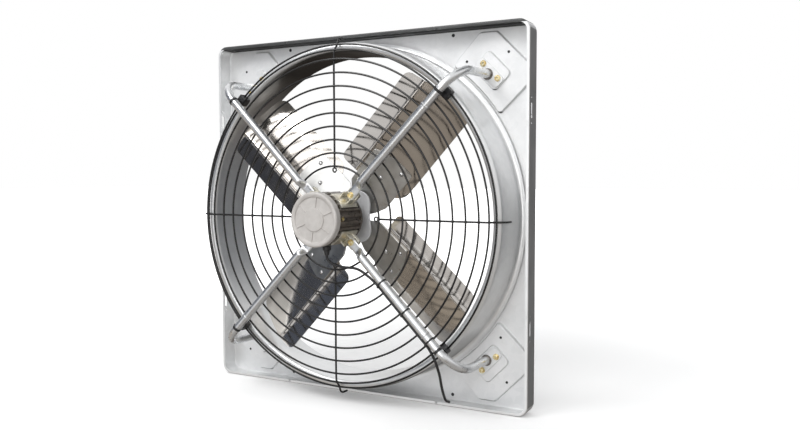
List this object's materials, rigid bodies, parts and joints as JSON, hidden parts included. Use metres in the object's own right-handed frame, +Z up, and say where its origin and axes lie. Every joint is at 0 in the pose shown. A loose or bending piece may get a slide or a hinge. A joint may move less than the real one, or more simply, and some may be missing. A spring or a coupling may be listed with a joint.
{
  "type": "panel exhaust fan",
  "caption": "Square galvanised panel with a bell mouth, a wire guard, tube arms that hold a motor at the centre, and a direct-driven axial rotor that turns behind the guard.",
  "frame": {"origin": "the point where the fan's axis meets the plane of the panel's back, which lies against the wall", "axes": "+Y along the fan's axis, out of the panel's back and into the wall, so that the motor side faces -Y; +Z up; +X to the right as seen from the motor side"},
  "size_m": [1, 0.267, 1],
  "materials": {
    "galvanised_panel": "hot-dip galvanised sheet, satin, light grey with faint spangle",
    "tube_zinc": "zinc-plated tube, semi-bright",
    "black_wire": "black coated guard wire, semi-gloss",
    "polished_stainless": "polished stainless sheet, near mirror",
    "cap_grey": "warm light grey paint, satin",
    "cast_dark": "dark enamelled finned casting, semi-gloss",
    "yellow_zinc": "yellow zinc-plated fasteners",
    "bright_steel": "bright machined steel",
    "lamination_steel": "stacked laminations, dark",
    "cord_black": "black flexible cable sheath, matt",
    "black_plastic": "black moulded plastic"
  },
  "bodies": {
    "frame": {"panel": "galvanised_panel", "bell_mouth": "galvanised_panel", "wire_guard": "black_wire", "motor_cap": "cap_grey", "motor_housing": "cast_dark", "drive_end_shield": "cast_dark", "cap_end_shield": "cast_dark", "stator_core": "lamination_steel", "bearing_front": "bright_steel", "bearing_rear": "bright_steel", "cable_gland": "black_plastic", "power_cord": "cord_black", "arm_top_right": "tube_zinc", "arm_foot_top_right": "galvanised_panel", "guard_clip_top_right": "black_plastic", "lug_bolt_top_right": "yellow_zinc", "foot_bolt_top_right_1": "yellow_zinc", "foot_bolt_top_right_2": "yellow_zinc", "arm_top_left": "tube_zinc", "arm_foot_top_left": "galvanised_panel", "guard_clip_top_left": "black_plastic", "lug_bolt_top_left": "yellow_zinc", "foot_bolt_top_left_1": "yellow_zinc", "foot_bolt_top_left_2": "yellow_zinc", "arm_bottom_left": "tube_zinc", "arm_foot_bottom_left": "galvanised_panel", "guard_clip_bottom_left": "black_plastic", "lug_bolt_bottom_left": "yellow_zinc", "foot_bolt_bottom_left_1": "yellow_zinc", "foot_bolt_bottom_left_2": "yellow_zinc", "arm_bottom_right": "tube_zinc", "arm_foot_bottom_right": "galvanised_panel", "guard_clip_bottom_right": "black_plastic", "lug_bolt_bottom_right": "yellow_zinc", "foot_bolt_bottom_right_1": "yellow_zinc", "foot_bolt_bottom_right_2": "yellow_zinc", "cord_tie_1": "black_plastic", "cord_tie_2": "black_plastic", "cord_tie_3": "black_plastic"},
    "rotor": {"motor_shaft": "bright_steel", "rotor_core": "lamination_steel", "hub_spider": "bright_steel", "hub_nut": "yellow_zinc", "blade_1": "polished_stainless", "blade_2": "polished_stainless", "blade_3": "polished_stainless", "blade_4": "polished_stainless", "blade_rivet_1_1": "bright_steel", "blade_rivet_1_2": "bright_steel", "blade_rivet_1_3": "bright_steel", "blade_rivet_2_1": "bright_steel", "blade_rivet_2_2": "bright_steel", "blade_rivet_2_3": "bright_steel", "blade_rivet_3_1": "bright_steel", "blade_rivet_3_2": "bright_steel", "blade_rivet_3_3": "bright_steel", "blade_rivet_4_1": "bright_steel", "blade_rivet_4_2": "bright_steel", "blade_rivet_4_3": "bright_steel"}
  },
  "joints": [
    {"name": "rotor_spin", "type": "hinge", "parent": "frame", "child": "rotor", "pos_m": [0, 0, 0], "axis": [0, -1, 0], "continuous": true}
  ]
}
